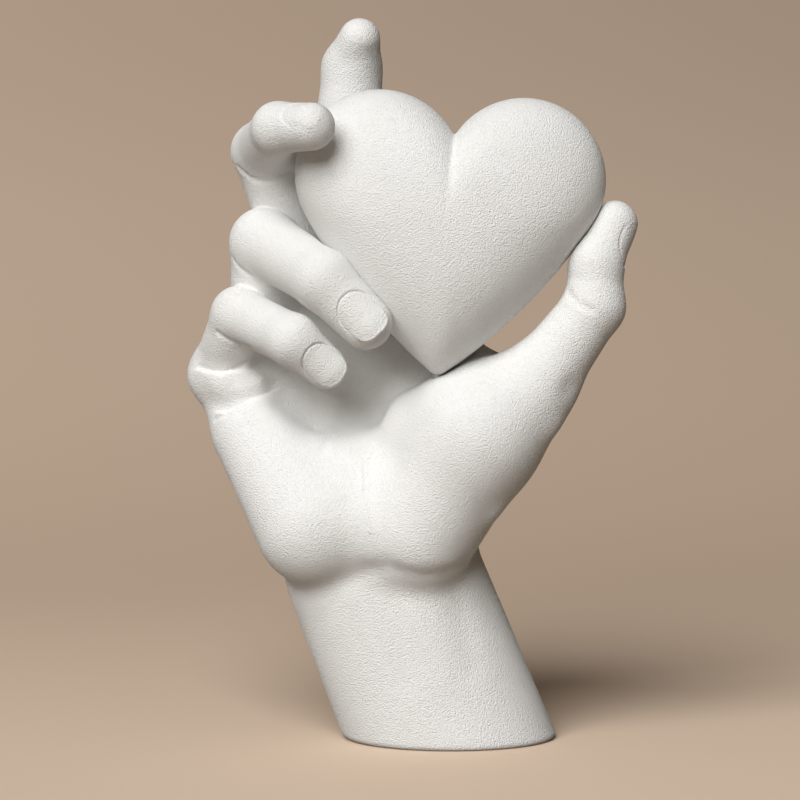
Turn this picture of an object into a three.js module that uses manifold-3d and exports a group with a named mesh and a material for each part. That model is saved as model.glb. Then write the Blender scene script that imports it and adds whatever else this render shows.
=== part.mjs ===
// A cast hand sculpture: a right hand stands on its cut forearm and holds a puffy heart.
// Millimetres, +Z up. The origin is the middle of the flat underside of the foot.
// +X is the viewer's right, and the open palm looks towards -Y.
//
// The hand is one hollow casting with reinforcing wires in its fingers. The heart is a second
// casting on two dowels. A ballast plug fills the foot of the hollow, an oval plate closes it
// and a felt pad covers the plate.

import * as THREE from 'three';
import { mergeVertices } from 'three/addons/utils/BufferGeometryUtils.js';
import Module from 'manifold-3d';

const wasm = await Module();
wasm.setup();

// Driving dimensions

// Clearance between pieces that seat on each other, and of a wire or dowel in its bore
const SEAT_GAP = 0.3;
const BORE_GAP = 0.35;

// Forearm: a tapered oval bar that leans to the left as it rises to the wrist
const WRIST_HEIGHT = 53;
const FOREARM_LEAN = 0.397; // sideways travel for each millimetre of height
const FOREARM_FOOT_X = 0.5;
const FOREARM_BELOW = 28; // how far the bar runs on below the cut
const FOREARM_TOP_RADIUS = 28.8;
const FOREARM_BOTTOM_RADIUS = 30.7;
const FOREARM_FLATNESS = 0.84; // depth over width

// Places from here on are taken from the middle of the wrist.
// Digits: where the knuckle is, then each bone as its length, its lean to the viewer's right from
// upright and its tilt towards the viewer, both in degrees. Radii are the flesh at each joint.
const INDEX = {
  knuckle: [12, 9, 83],
  bones: [[48.5, -26, -5], [22, 2, 2], [11, 16, 36]],
  radii: [12.2, 11.3, 8.9, 6.4],
};
const MIDDLE = {
  knuckle: [-17.5, 11, 79],
  bones: [[51, -21.5, 21], [25.5, 44, 70], [13.5, 88, 44]],
  radii: [12.3, 8.6, 7.4, 7.1],
};
const RING = {
  knuckle: [-34.5, 8, 64.5],
  bones: [[36, 1, 28], [30.5, 120, 47], [17.5, 135, 7]],
  radii: [11, 10.1, 8.9, 7.9],
};
const LITTLE = {
  knuckle: [-47, 3, 56.5],
  bones: [[24, 17, 36], [26, 112, 47], [12.5, 130, -8]],
  radii: [10, 8.2, 7.6, 6.4],
};
const THUMB = {
  knuckle: [46, -22, 55],
  bones: [[28.5, 36, 4], [12.5, 3, -5], [13, 25, -13]],
  radii: [10.9, 8.6, 7.6, 6.8],
};

// Palm: the hand bones' wrist ends, and the pads of flesh
const WRIST_ENDS = { index: [12, 6, 9], middle: [4.5, 6, 9], ring: [-3, 5, 7.5], little: [-10, 3, 6.5] };
const WRIST_END_RADIUS = 12.5;
const BACK_OF_HAND = { from: [1.5, 6, 12], to: [-9, 7, 57], radii: [26, 31], flatness: 0.44 };
const LITTLE_SIDE_PAD = { from: [-18.5, -13, 13], to: [-37, -4, 39], radii: [18.3, 12.5] };
const PALM_MIDDLE = { from: [-1, -13, 14], to: [-7, -7, 31], radii: [15, 13.5] };
const THUMB_BALL = { from: [11.5, -17, 12], to: [29, -22, 40], radii: [17.8, 17.3] };
const THUMB_WEB = { from: [37, -12, 50.5], to: [24.5, 2, 57], radii: [11, 10.5] };
const HEART_REST = { from: [11, -14, 42.5], to: [26.5, -17, 48], radii: [10, 10] };

// How softly neighbouring forms run into each other
const JOINT_BLEND = 2.6;
const THUMB_ROOT_BLEND = 6;
const FINGER_ROOT_BLEND = 4;
const FINGER_GAP_BLEND = 0.6; // between neighbouring fingers, which only touch
const BONE_BLEND = 9;
const PAD_BLEND = 9;
const WRIST_BLEND = 4.5;

// Heart: two lobes and a tip joined by long side arcs, given from its middle, then puffed out
const HEART_MIDDLE = [18.5, -20, 99.5];
const HEART_LEFT_LOBE = { x: -18.5, z: 17, radius: 24.6 };
const HEART_RIGHT_LOBE = { x: 23.7, z: 15.1, radius: 24 };
const HEART_TIP = { x: -1.2, z: -40.8, radius: 1.5 };
const HEART_SIDE_RADIUS = 170;
const HEART_HALF_THICKNESS = 22;
const HEART_FULLNESS = 2.3; // 2 is an ellipse across, more is squarer
const HEART_CROWN_RADIUS = 40; // roundness of the middle, where groove and tip ridge fade out
const HEART_CLEFT_SOFTNESS = 2;
const HEART_TIP_SOFTNESS = 4;

// Hollow in the forearm and the lower palm
const HOLLOW_WALL = 7;
const HOLLOW_ABOVE_WRIST = 23;
const HOLLOW_DOME = 20; // height over which the hollow closes
const HOLLOW_FLATNESS = 0.74;

// What closes the foot, from the floor up
const PAD_THICKNESS = 1.5;
const PLATE_THICKNESS = 3;
const LEDGE_WIDTH = 3; // how far the plate reaches past the hollow's mouth
const BALLAST_HEIGHT = 26;

// Dowels between the heart and the hand
const DOWEL_RADIUS = 2;
const DOWEL_IN_HEART = 12;
const DOWEL_IN_HAND = 6;
const BACK_DOWEL_SHARE = 0.35; // where it leaves the index finger's first bone

// Wires in the digits, from their ends in the hollow
const WIRE_RADIUS = 1;
const WIRE_STARTS = {
  thumb: [11.5, -7, 9],
  index: [9.5, 1, 15],
  middle: [3.5, 2, 17],
  ring: [-2.5, 2, 16],
  little: [-8.5, 1, 13],
};

// Fineness of the facets
const HAND_CELL = 4.4;
const SPARE_BELOW_FLOOR = 9; // the skin is made this much too long and then cut flat
const SETTLED_SHARE = 0.3; // depth, in cells, of a grid corner that had to change side
const FACET_ALLOWANCE = 1.4; // the gap round the heart is widened so that its facets keep clear
const HEART_SPOKES = 56;
const HEART_RINGS = 9;
const ROUND_SIDES = 32;
const DOME_STEPS = 5;
const DOWEL_SIDES = 12;
const WIRE_SIDES = 6;
const WIRE_STEPS = 15;

// Places worked out from the dimensions

const wrist = [FOREARM_FOOT_X - FOREARM_LEAN * WRIST_HEIGHT, 0, WRIST_HEIGHT];
const forearmBottom = [FOREARM_FOOT_X + FOREARM_LEAN * FOREARM_BELOW, 0, -FOREARM_BELOW];

function fromWrist([x, y, z]) {
  return [wrist[0] + x, wrist[1] + y, wrist[2] + z];
}

function jointsOf({ knuckle, bones }) {
  const joints = [fromWrist(knuckle)];
  for (const [length, lean, tilt] of bones) {
    const [x, y, z] = joints.at(-1);
    const [sideways, forwards] = [lean, tilt].map(THREE.MathUtils.degToRad);
    const flat = length * Math.cos(forwards);
    const reach = [flat * Math.sin(sideways), -length * Math.sin(forwards), flat * Math.cos(sideways)];
    joints.push([x + reach[0], y + reach[1], z + reach[2]]);
  }
  return joints;
}

const digits = { thumb: THUMB, index: INDEX, middle: MIDDLE, ring: RING, little: LITTLE };
const joints = Object.fromEntries(Object.entries(digits).map(([name, digit]) => [name, jointsOf(digit)]));
const heartMiddle = fromWrist(HEART_MIDDLE);

// Distance helpers: a form is a function of x, y, z that is negative inside the flesh

function blend(a, b, softness) {
  const overlap = Math.max(softness - Math.abs(a - b), 0) / softness;
  return Math.min(a, b) - overlap * overlap * softness * 0.25;
}

function joined(forms, softness) {
  return (x, y, z) => forms.map((form) => form(x, y, z)).reduce((a, b) => blend(a, b, softness));
}

// A bar with round ends and its own radius at each end, flattened along Y where flatness < 1.
// Its tapered side runs on from the round ends without an edge: for a point beside the bar, the
// nearest round lies a little towards the thick end.
function bar(from, to, radii, flatness = 1) {
  const [fx, fy, fz] = from;
  const bx = to[0] - fx;
  const by = (to[1] - fy) / flatness;
  const bz = to[2] - fz;
  const length = Math.hypot(bx, by, bz);
  const taper = (radii[0] - radii[1]) / length;
  const setBack = taper / Math.sqrt(1 - taper * taper);
  return (x, y, z) => {
    const px = x - fx;
    const py = (y - fy) / flatness;
    const pz = z - fz;
    const straight = (px * bx + py * by + pz * bz) / length;
    const beside = Math.sqrt(Math.max(px * px + py * py + pz * pz - straight * straight, 0));
    const along = THREE.MathUtils.clamp((straight - setBack * beside) / length, 0, 1);
    const away = Math.hypot(px - along * bx, py - along * by, pz - along * bz);
    return (away - THREE.MathUtils.lerp(radii[0], radii[1], along)) * (1 + flatness) / 2;
  };
}

function digitForm(name) {
  const { radii } = digits[name];
  const places = joints[name];
  const bones = places.slice(1).map((place, i) => bar(places[i], place, [radii[i], radii[i + 1]]));
  return joined(bones, JOINT_BLEND);
}

// The hand

function palmForm() {
  const bones = Object.keys(WRIST_ENDS).map((name) =>
    bar(fromWrist(WRIST_ENDS[name]), joints[name][0], [WRIST_END_RADIUS, digits[name].radii[0]]));
  const pad = ({ from, to, radii, flatness }) => bar(fromWrist(from), fromWrist(to), radii, flatness);
  const pads = [BACK_OF_HAND, LITTLE_SIDE_PAD, PALM_MIDDLE, THUMB_BALL, THUMB_WEB, HEART_REST].map(pad);
  const thumbBone = bar(fromWrist(THUMB_BALL.to), joints.thumb[0], [THUMB_BALL.radii[1], THUMB.radii[0]]);
  return joined([joined(bones, BONE_BLEND), ...pads, thumbBone], PAD_BLEND);
}

function handForm() {
  const forearm = bar(forearmBottom, wrist, [FOREARM_BOTTOM_RADIUS, FOREARM_TOP_RADIUS], FOREARM_FLATNESS);
  const body = joined([palmForm(), forearm], WRIST_BLEND);
  const withThumb = joined([body, digitForm('thumb')], THUMB_ROOT_BLEND);
  const fingers = Object.keys(WRIST_ENDS).map((name) => digitForm(name));
  return (x, y, z) => {
    const there = withThumb(x, y, z);
    const whole = fingers
      .map((finger) => blend(there, finger(x, y, z), FINGER_ROOT_BLEND))
      .reduce((nearest, next) => blend(nearest, next, FINGER_GAP_BLEND));
    return Math.max(whole, -SPARE_BELOW_FLOOR - z);
  };
}

// The box that the hand's skin lies in, with two cells to spare
function handBox() {
  const spare = 2 * HAND_CELL;
  const box = new THREE.Box3();
  const hold = (place, radius) => box.union(new THREE.Box3().setFromCenterAndSize(
    new THREE.Vector3(...place), new THREE.Vector3(1, 1, 1).multiplyScalar(2 * (radius + spare))));
  for (const [name, { radii }] of Object.entries(digits)) {
    joints[name].forEach((place, i) => hold(place, radii[i]));
  }
  for (const { from, to, radii } of [BACK_OF_HAND, LITTLE_SIDE_PAD, PALM_MIDDLE, THUMB_BALL]) {
    hold(fromWrist(from), radii[0]);
    hold(fromWrist(to), radii[1]);
  }
  hold(wrist, FOREARM_TOP_RADIUS);
  hold(forearmBottom, FOREARM_BOTTOM_RADIUS);
  box.min.z = -SPARE_BELOW_FLOOR - spare;
  return box;
}

// A closed net of four-sided faces over a form, with its corners pulled onto the form
function netOver(form, box, cell) {
  const low = box.min.toArray();
  const count = box.getSize(new THREE.Vector3()).toArray().map((size) => Math.ceil(size / cell) + 1);
  const [nx, ny, nz] = count;
  const at = (i, j, k) => (i * ny + j) * nz + k;
  const value = new Float64Array(nx * ny * nz);
  for (let i = 0; i < nx; i++) {
    for (let j = 0; j < ny; j++) {
      for (let k = 0; k < nz; k++) {
        value[at(i, j, k)] = form(low[0] + i * cell, low[1] + j * cell, low[2] + k * cell);
      }
    }
  }
  const settled = settleFaces(value, count, at, SETTLED_SHARE * cell);
  const corners = [];
  for (const i of [0, 1]) for (const j of [0, 1]) for (const k of [0, 1]) corners.push([i, j, k]);
  const edges = [];
  corners.forEach((a, m) => corners.forEach((b, n) => {
    const steps = Math.abs(a[0] - b[0]) + Math.abs(a[1] - b[1]) + Math.abs(a[2] - b[2]);
    if (n > m && steps === 1) edges.push([a, b]);
  }));

  const vertexOf = new Map();
  const points = [];
  for (let i = 0; i < nx - 1; i++) {
    for (let j = 0; j < ny - 1; j++) {
      for (let k = 0; k < nz - 1; k++) {
        const sum = new THREE.Vector3();
        let crossings = 0;
        for (const [a, b] of edges) {
          const va = value[at(i + a[0], j + a[1], k + a[2])];
          const vb = value[at(i + b[0], j + b[1], k + b[2])];
          if ((va < 0) === (vb < 0)) continue;
          sum.add(new THREE.Vector3(...a).lerp(new THREE.Vector3(...b), va / (va - vb)));
          crossings += 1;
        }
        if (!crossings) continue;
        const place = sum.divideScalar(crossings).add(new THREE.Vector3(i, j, k)).multiplyScalar(cell);
        place.add(new THREE.Vector3(...low));
        const moved = corners.some((c) => settled.has(at(i + c[0], j + c[1], k + c[2])));
        if (!moved) pullOnto(form, place, cell / 2);
        vertexOf.set(at(i, j, k), points.length);
        points.push(place);
      }
    }
  }

  const triangles = [];
  const around = [[[0, 1, 0], [0, 0, 1]], [[0, 0, 1], [1, 0, 0]], [[1, 0, 0], [0, 1, 0]]];
  for (let i = 1; i < nx - 1; i++) {
    for (let j = 1; j < ny - 1; j++) {
      for (let k = 1; k < nz - 1; k++) {
        [[1, 0, 0], [0, 1, 0], [0, 0, 1]].forEach((step, axis) => {
          const inside = value[at(i, j, k)] < 0;
          if (inside === value[at(i + step[0], j + step[1], k + step[2])] < 0) return;
          const [u, w] = around[axis];
          const near = (du, dw) => vertexOf.get(
            at(i - du * u[0] - dw * w[0], j - du * u[1] - dw * w[1], k - du * u[2] - dw * w[2]),
          );
          const quad = [near(1, 1), near(0, 1), near(0, 0), near(1, 0)];
          if (!inside) quad.reverse();
          const [a, b, c, d] = quad;
          const short = points[a].distanceTo(points[c]) < points[b].distanceTo(points[d]);
          triangles.push(...(short ? [a, b, c, a, c, d] : [a, b, d, b, c, d]));
        });
      }
    }
  }
  return indexedGeometry(points, triangles);
}

// Where two diagonal corners of a grid face are inside and the other two outside, the skin would
// meet itself along an edge. The corner nearest the skin changes side until no such face is left.
function settleFaces(value, [nx, ny, nz], at, depth) {
  const settled = new Set();
  const pairs = [[[1, 0, 0], [0, 1, 0]], [[0, 1, 0], [0, 0, 1]], [[0, 0, 1], [1, 0, 0]]];
  for (let found = true; found;) {
    found = false;
    for (let i = 0; i < nx - 1; i++) {
      for (let j = 0; j < ny - 1; j++) {
        for (let k = 0; k < nz - 1; k++) {
          for (const [u, w] of pairs) {
            const face = [[0, 0], [1, 0], [1, 1], [0, 1]].map(([a, b]) =>
              at(i + a * u[0] + b * w[0], j + a * u[1] + b * w[1], k + a * u[2] + b * w[2]));
            const [p, q, r, s] = face.map((corner) => value[corner] < 0);
            if (p !== r || q !== s || p === q) continue;
            const free = face.filter((corner) => !settled.has(corner));
            if (!free.length) continue;
            const nearest = free.reduce((a, b) => (Math.abs(value[a]) < Math.abs(value[b]) ? a : b));
            value[nearest] = value[nearest] < 0 ? depth : -depth;
            settled.add(nearest);
            found = true;
          }
        }
      }
    }
  }
  return settled;
}

function pullOnto(form, point, reach) {
  const probe = 0.05;
  for (let turn = 0; turn < 3; turn++) {
    const { x, y, z } = point;
    const slope = new THREE.Vector3(
      form(x + probe, y, z) - form(x - probe, y, z),
      form(x, y + probe, z) - form(x, y - probe, z),
      form(x, y, z + probe) - form(x, y, z - probe),
    ).divideScalar(2 * probe);
    const step = slope.multiplyScalar(-form(x, y, z) / Math.max(slope.lengthSq(), 0.2));
    point.add(step.clampLength(0, reach));
  }
}

function indexedGeometry(points, triangles) {
  const geometry = new THREE.BufferGeometry();
  geometry.setAttribute('position', new THREE.Float32BufferAttribute(points.flatMap((p) => p.toArray()), 3));
  geometry.setIndex(triangles);
  return geometry;
}

// The heart

// Centre of the long arc that touches a lobe and the tip from inside, on the far side
function sideArcCentre(lobe, side) {
  const toTip = new THREE.Vector2(HEART_TIP.x - lobe.x, HEART_TIP.z - lobe.z);
  const span = toTip.length();
  const fromLobe = HEART_SIDE_RADIUS - lobe.radius;
  const fromTip = HEART_SIDE_RADIUS - HEART_TIP.radius;
  const along = (fromLobe ** 2 - fromTip ** 2 + span ** 2) / (2 * span);
  const away = Math.sqrt(fromLobe ** 2 - along ** 2) * side;
  toTip.normalize();
  return {
    x: lobe.x + along * toTip.x - away * toTip.y,
    z: lobe.z + along * toTip.y + away * toTip.x,
    radius: HEART_SIDE_RADIUS,
  };
}

// How far a ray from the heart's middle runs before it leaves a circle
function reachInCircle({ x, z, radius }, angle) {
  const towards = Math.cos(angle) * x + Math.sin(angle) * z;
  return towards + Math.sqrt(Math.max(towards ** 2 - x * x - z * z + radius ** 2, 1e-6));
}

function heartOutline() {
  const rightArc = sideArcCentre(HEART_LEFT_LOBE, 1);
  const leftArc = sideArcCentre(HEART_RIGHT_LOBE, -1);
  const touchAngle = (lobe, arc) => {
    const out = new THREE.Vector2(lobe.x - arc.x, lobe.z - arc.z).setLength(lobe.radius);
    return Math.atan2(lobe.z + out.y, lobe.x + out.x);
  };
  const full = 2 * Math.PI;
  const fromTop = (angle) => (((angle - Math.PI / 2) % full) + full) % full;
  const leftTouch = fromTop(touchAngle(HEART_LEFT_LOBE, rightArc));
  const rightTouch = fromTop(touchAngle(HEART_RIGHT_LOBE, leftArc));
  return (angle) => {
    const turned = fromTop(angle);
    if (turned > leftTouch && turned < rightTouch) {
      return blend(reachInCircle(rightArc, angle), reachInCircle(leftArc, angle), HEART_TIP_SOFTNESS);
    }
    return -blend(
      -reachInCircle(HEART_LEFT_LOBE, angle),
      -reachInCircle(HEART_RIGHT_LOBE, angle),
      HEART_CLEFT_SOFTNESS,
    );
  };
}

const outlineReach = heartOutline();

// Half the heart's thickness on a ray from its middle, at a share of the way to the outline
function heartDepth(angle, share) {
  const fade = (0.75 - 0.35 * Math.sin(angle)) * (1 - share) ** 1.5;
  const level = share * (1 - fade) + (fade * share * outlineReach(angle)) / HEART_CROWN_RADIUS;
  return HEART_HALF_THICKNESS * Math.sqrt(Math.max(1 - level ** HEART_FULLNESS, 0));
}

// A heart from spokes and rings: front middle, rings out to the outline and back to the rear middle
function heartGeometry() {
  const points = [];
  const surfacePoint = (angle, share, face) => {
    const reach = share * outlineReach(angle);
    return new THREE.Vector3(
      heartMiddle[0] + Math.cos(angle) * reach,
      heartMiddle[1] + face * heartDepth(angle, share),
      heartMiddle[2] + Math.sin(angle) * reach,
    );
  };
  const tipAngle = Math.atan2(HEART_TIP.z, HEART_TIP.x);
  points.push(surfacePoint(0, 0, -1));
  const ringCount = 2 * HEART_RINGS - 1;
  for (let ring = 1; ring <= ringCount; ring++) {
    const turn = (ring / (2 * HEART_RINGS)) * Math.PI;
    for (let spoke = 0; spoke < HEART_SPOKES; spoke++) {
      const angle = tipAngle + (spoke / HEART_SPOKES) * 2 * Math.PI;
      points.push(surfacePoint(angle, Math.sin(turn), turn < Math.PI / 2 ? -1 : 1));
    }
  }
  points.push(surfacePoint(0, 0, 1));

  const triangles = [];
  const last = points.length - 1;
  const at = (ring, spoke) => 1 + (ring - 1) * HEART_SPOKES + (spoke % HEART_SPOKES);
  for (let spoke = 0; spoke < HEART_SPOKES; spoke++) {
    triangles.push(0, at(1, spoke), at(1, spoke + 1));
    for (let ring = 1; ring < ringCount; ring++) {
      const [a, b] = [at(ring, spoke), at(ring, spoke + 1)];
      const [c, d] = [at(ring + 1, spoke + 1), at(ring + 1, spoke)];
      triangles.push(a, d, c, a, c, b);
    }
    triangles.push(last, at(ringCount, spoke + 1), at(ringCount, spoke));
  }
  return indexedGeometry(points, triangles);
}

// The same skin, moved outwards
function swollen(geometry, distance) {
  const grown = geometry.clone();
  grown.computeVertexNormals();
  const { position, normal } = grown.attributes;
  for (let i = 0; i < position.count; i++) {
    const place = new THREE.Vector3().fromBufferAttribute(position, i);
    place.addScaledVector(new THREE.Vector3().fromBufferAttribute(normal, i), distance);
    position.setXYZ(i, ...place);
  }
  return grown;
}

// Solids

function solidOf(geometry) {
  const bare = geometry.clone();
  bare.deleteAttribute('normal');
  bare.deleteAttribute('uv');
  const merged = mergeVertices(bare, 1e-4);
  const { array } = merged.index;
  const kept = [];
  for (let i = 0; i < array.length; i += 3) {
    const [a, b, c] = [array[i], array[i + 1], array[i + 2]];
    if (a !== b && b !== c && c !== a) kept.push(a, b, c);
  }
  return new wasm.Manifold(new wasm.Mesh({
    numProp: 3,
    vertProperties: Float32Array.from(merged.attributes.position.array),
    triVerts: Uint32Array.from(kept),
  }));
}

function geometryOf(solid) {
  const { vertProperties, triVerts } = solid.getMesh();
  const geometry = new THREE.BufferGeometry();
  geometry.setAttribute('position', new THREE.BufferAttribute(vertProperties, 3));
  geometry.setIndex(new THREE.BufferAttribute(triVerts, 1));
  geometry.computeVertexNormals();
  return geometry;
}

// An upright oval disc, with its underside at the height given
function ovalDisc(radius, flatness, bottom, thickness) {
  return new THREE.CylinderGeometry(radius, radius, thickness, ROUND_SIDES)
    .rotateX(Math.PI / 2)
    .scale(1, flatness, 1)
    .translate(0, 0, bottom + thickness / 2);
}

// The hollow's own shape, drawn in by a gap: it leans with the forearm and may close in a dome
const hollowRadius = FOREARM_TOP_RADIUS - HOLLOW_WALL;

function hollowShape(bottom, top, domeHeight, gap) {
  const radius = hollowRadius - gap;
  const shoulder = top - domeHeight;
  const corners = [[0, bottom], [radius, bottom], [radius, shoulder]];
  const profile = corners.map((corner) => new THREE.Vector2(...corner));
  for (let i = 1; domeHeight && i < DOME_STEPS; i++) {
    const turn = (i / DOME_STEPS) * (Math.PI / 2);
    profile.push(new THREE.Vector2(radius * Math.cos(turn), shoulder + domeHeight * Math.sin(turn)));
  }
  profile.push(new THREE.Vector2(0, top));
  const lean = new THREE.Matrix4().makeShear(0, 0, 0, 0, -FOREARM_LEAN, 0);
  return new THREE.LatheGeometry(profile, ROUND_SIDES)
    .rotateX(Math.PI / 2)
    .scale(1, HOLLOW_FLATNESS, 1)
    .applyMatrix4(lean)
    .translate(FOREARM_FOOT_X, 0, 0);
}

// A straight dowel between two points
function dowelShape(from, to, radius) {
  const axis = new THREE.Vector3().subVectors(to, from);
  const middle = new THREE.Vector3().addVectors(from, to).multiplyScalar(0.5);
  const length = axis.length();
  const turn = new THREE.Quaternion().setFromUnitVectors(new THREE.Vector3(0, 1, 0), axis.normalize());
  return new THREE.CylinderGeometry(radius, radius, length, DOWEL_SIDES)
    .applyQuaternion(turn)
    .translate(...middle);
}

function lengthened(from, to, extra) {
  const along = new THREE.Vector3().subVectors(to, from).setLength(extra);
  return [from.clone().sub(along), to.clone().add(along)];
}

// A wire from the hollow through the palm to just short of the fingertip's ball
function wireShape(name, radius, extra) {
  const path = [fromWrist(WIRE_STARTS[name]), ...joints[name]].map((point) => new THREE.Vector3(...point));
  if (extra) {
    const [, end] = lengthened(path.at(-2), path.at(-1), extra);
    path[path.length - 1] = end;
    const [before] = lengthened(path[0], path[1], extra);
    path[0] = before;
  }
  const curve = new THREE.CatmullRomCurve3(path, false, 'centripetal');
  const section = new THREE.Shape();
  for (let i = 0; i < WIRE_SIDES; i++) {
    const angle = (i / WIRE_SIDES) * 2 * Math.PI;
    const corner = [radius * Math.cos(angle), radius * Math.sin(angle)];
    if (i) section.lineTo(...corner);
    else section.moveTo(...corner);
  }
  section.closePath();
  return new THREE.ExtrudeGeometry(section, { steps: WIRE_STEPS, bevelEnabled: false, extrudePath: curve });
}

// Stack in the foot, from the floor up
const plateBottom = PAD_THICKNESS + SEAT_GAP;
const ledgeHeight = plateBottom + PLATE_THICKNESS + SEAT_GAP;
const plateRadius = hollowRadius + LEDGE_WIDTH;
const ballastTop = ledgeHeight + BALLAST_HEIGHT;

const heartSkin = heartGeometry();
const heartCutter = solidOf(swollen(heartSkin, SEAT_GAP * FACET_ALLOWANCE));

const heartTip = new THREE.Vector3(...heartMiddle).add(new THREE.Vector3(HEART_TIP.x, 0, HEART_TIP.z));
const tipDowel = [
  heartTip.clone().add(new THREE.Vector3(0, 0, -DOWEL_IN_HAND)),
  heartTip.clone().add(new THREE.Vector3(0, 0, DOWEL_IN_HEART)),
];

// The back dowel runs along Y through the heart's back, in front of the index finger's first bone
const [indexKnuckle, indexMiddleJoint] = joints.index.map((place) => new THREE.Vector3(...place));
const backPlace = indexKnuckle.lerp(indexMiddleJoint, BACK_DOWEL_SHARE);
const backRay = new THREE.Vector2(backPlace.x - heartMiddle[0], backPlace.z - heartMiddle[2]);
const backAngle = Math.atan2(backRay.y, backRay.x);
const heartBack = heartMiddle[1] + heartDepth(backAngle, backRay.length() / outlineReach(backAngle));
const backDowel = [
  new THREE.Vector3(backPlace.x, heartBack + DOWEL_IN_HAND, backPlace.z),
  new THREE.Vector3(backPlace.x, heartBack - DOWEL_IN_HEART, backPlace.z),
];

function dowelBores() {
  return [tipDowel, backDowel].map(([from, to]) =>
    solidOf(dowelShape(...lengthened(from, to, SEAT_GAP), DOWEL_RADIUS + BORE_GAP)));
}

function handSolid() {
  const box = handBox();
  const size = box.getSize(new THREE.Vector3());
  const floorCut = new THREE.BoxGeometry(size.x, 2 * size.y, size.z)
    .translate(box.getCenter(new THREE.Vector3()).x, 0, -size.z / 2);
  const mouthDepth = ledgeHeight + SPARE_BELOW_FLOOR;
  const mouth = ovalDisc(plateRadius + SEAT_GAP, FOREARM_FLATNESS, -SPARE_BELOW_FLOOR, mouthDepth);
  const wireBore = WIRE_RADIUS + BORE_GAP / Math.cos(Math.PI / WIRE_SIDES);
  const cutters = [
    solidOf(floorCut),
    solidOf(mouth),
    solidOf(hollowShape(PAD_THICKNESS, WRIST_HEIGHT + HOLLOW_ABOVE_WRIST, HOLLOW_DOME, 0)),
    heartCutter,
    ...dowelBores(),
    ...Object.keys(digits).map((name) => solidOf(wireShape(name, wireBore, BORE_GAP))),
  ];
  const skin = solidOf(netOver(handForm(), box, HAND_CELL));
  return cutters.reduce((solid, cutter) => solid.subtract(cutter), skin);
}

function heartSolid() {
  return dowelBores().reduce((solid, bore) => solid.subtract(bore), solidOf(heartSkin));
}

// Materials and the finished group

const materials = {
  casting: new THREE.MeshStandardMaterial({ color: 0xf1eee9, roughness: 0.95, metalness: 0 }),
  ballast: new THREE.MeshStandardMaterial({ color: 0x9a9790, roughness: 0.9, metalness: 0 }),
  plate: new THREE.MeshStandardMaterial({ color: 0xb08d62, roughness: 0.8, metalness: 0 }),
  felt: new THREE.MeshStandardMaterial({ color: 0xd8d2c6, roughness: 1, metalness: 0 }),
  steel: new THREE.MeshStandardMaterial({ color: 0xb9bcc0, roughness: 0.4, metalness: 1 }),
};

const sculpture = new THREE.Group();

function addPiece(name, geometry, material) {
  const mesh = new THREE.Mesh(geometryOf(geometry), material);
  mesh.name = name;
  sculpture.add(mesh);
}

addPiece('hand_casting', handSolid(), materials.casting);
addPiece('heart_casting', heartSolid(), materials.casting);
addPiece('heart_tip_dowel', solidOf(dowelShape(...tipDowel, DOWEL_RADIUS)), materials.steel);
addPiece('heart_back_dowel', solidOf(dowelShape(...backDowel, DOWEL_RADIUS)), materials.steel);
addPiece('ballast_plug', solidOf(hollowShape(ledgeHeight, ballastTop, 0, SEAT_GAP)), materials.ballast);
const plate = ovalDisc(plateRadius, FOREARM_FLATNESS, plateBottom, PLATE_THICKNESS);
addPiece('base_plate', solidOf(plate), materials.plate);
addPiece('felt_pad', solidOf(ovalDisc(plateRadius, FOREARM_FLATNESS, 0, PAD_THICKNESS)), materials.felt);
for (const name of Object.keys(digits)) {
  addPiece(`${name}_wire`, solidOf(wireShape(name, WIRE_RADIUS, 0)), materials.steel);
}

export default sculpture;
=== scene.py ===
# %% [markdown]
# # A cast hand that holds a heart
#
# The object is a life-size hand in white, sand-textured cast stone. It stands on its cut forearm
# with the open palm to the viewer, and holds a puffy heart, which is a second casting.
#
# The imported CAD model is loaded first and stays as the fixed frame. The two castings are then made
# again as fine skins in the same place, because flesh has no flat faces to keep. The wires, dowels,
# ballast and plate keep their CAD shapes and only get better finishes.

# %% The frame
import math

import bmesh
import bpy
import numpy as np
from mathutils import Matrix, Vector


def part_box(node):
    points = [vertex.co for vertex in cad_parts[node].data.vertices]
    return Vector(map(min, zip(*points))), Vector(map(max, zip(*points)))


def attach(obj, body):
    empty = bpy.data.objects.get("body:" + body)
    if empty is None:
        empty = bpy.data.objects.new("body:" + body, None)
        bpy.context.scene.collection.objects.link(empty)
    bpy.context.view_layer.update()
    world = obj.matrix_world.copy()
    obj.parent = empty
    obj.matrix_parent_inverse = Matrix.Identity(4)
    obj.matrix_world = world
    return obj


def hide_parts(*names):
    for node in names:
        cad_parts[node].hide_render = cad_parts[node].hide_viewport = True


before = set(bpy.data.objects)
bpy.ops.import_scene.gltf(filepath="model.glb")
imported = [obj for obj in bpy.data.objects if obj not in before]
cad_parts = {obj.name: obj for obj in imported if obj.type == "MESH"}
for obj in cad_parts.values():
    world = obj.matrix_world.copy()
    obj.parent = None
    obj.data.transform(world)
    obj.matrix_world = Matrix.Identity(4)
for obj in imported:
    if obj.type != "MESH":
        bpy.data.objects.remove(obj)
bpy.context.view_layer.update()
print("CAD nodes:", sorted(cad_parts))

MM = 0.001
scene = bpy.context.scene

# %% [markdown]
# ## Camera
#
# A long lens far away keeps the hand's proportions. It looks a little down, as a camera does when
# the top of the foot's rim is just hidden. The camera comes first, because creases are placed later
# by where the photograph shows them, and that needs the camera's rays.

# %% Camera
PHOTO_WIDTH = 800
LOOKED_AT = np.array([-14.4, 0.0, 102.0])
CAMERA_DISTANCE = 900.0
CAMERA_ELEVATION = math.radians(4)
LENS_LENGTH = 135.0
SENSOR_WIDTH = 36.0
SEEN_TO = 20.0  # metres

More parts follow.
